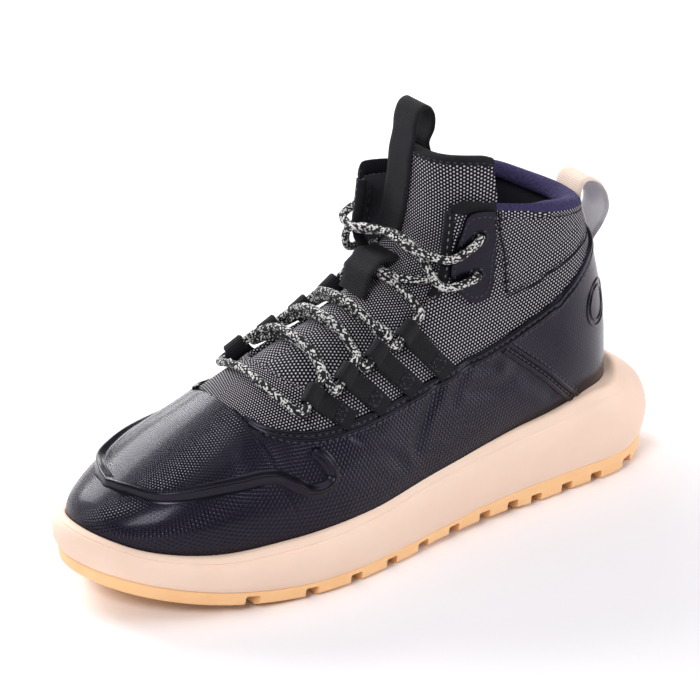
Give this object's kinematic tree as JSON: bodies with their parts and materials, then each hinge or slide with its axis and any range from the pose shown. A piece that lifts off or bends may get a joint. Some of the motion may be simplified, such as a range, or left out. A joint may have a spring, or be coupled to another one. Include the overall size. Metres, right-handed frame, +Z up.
{
  "type": "sneaker boot",
  "caption": "Mid-height lace-up sneaker boot for the left foot, with a thick foam midsole, lugged rubber outsole, textile upper and pull loops.",
  "frame": {"origin": "flat face of the second heel lug, on the floor under the middle of the heel", "axes": "+Z up from the floor, -Y toward the toe, +X toward the outer side of the left foot"},
  "size_m": [0.1106, 0.306, 0.1926],
  "materials": {
    "gum_rubber": "matt amber gum rubber",
    "foam": "matt cream foam with a faint grain",
    "dark_leather_and_textile": "dark navy leather below, black textile with white dots above",
    "lining": "matt dark lining",
    "dotted_textile": "matt black textile with white dots",
    "plush": "soft dark plush",
    "black_webbing": "matt ribbed webbing",
    "cream_webbing": "cream webbing, grey on its inner side",
    "smooth_leather": "smooth dark leather",
    "lace": "round black rope with white flecks"
  },
  "bodies": {
    "root": {"outsole": "gum_rubber", "midsole": "foam", "upper": "dark_leather_and_textile", "insole": "lining", "tongue": "dotted_textile", "collar_roll": "plush", "tongue_pull_strap": "black_webbing", "lace_keeper": "black_webbing", "heel_pull_loop": "cream_webbing", "eyelet_patch_lateral": "smooth_leather", "eyelet_patch_medial": "smooth_leather", "lace_bar": "lace", "lace_loop_lateral_1": "black_webbing", "lace_loop_lateral_2": "black_webbing", "lace_loop_lateral_3": "black_webbing", "lace_loop_lateral_4": "black_webbing", "lace_loop_medial_1": "black_webbing", "lace_loop_medial_2": "black_webbing", "lace_loop_medial_3": "black_webbing", "lace_loop_medial_4": "black_webbing", "lace_crossing_1": "lace", "lace_crossing_2": "lace", "lace_crossing_3": "lace", "lace_crossing_4": "lace", "lace_crossing_5": "lace"}
  },
  "joints": []
}
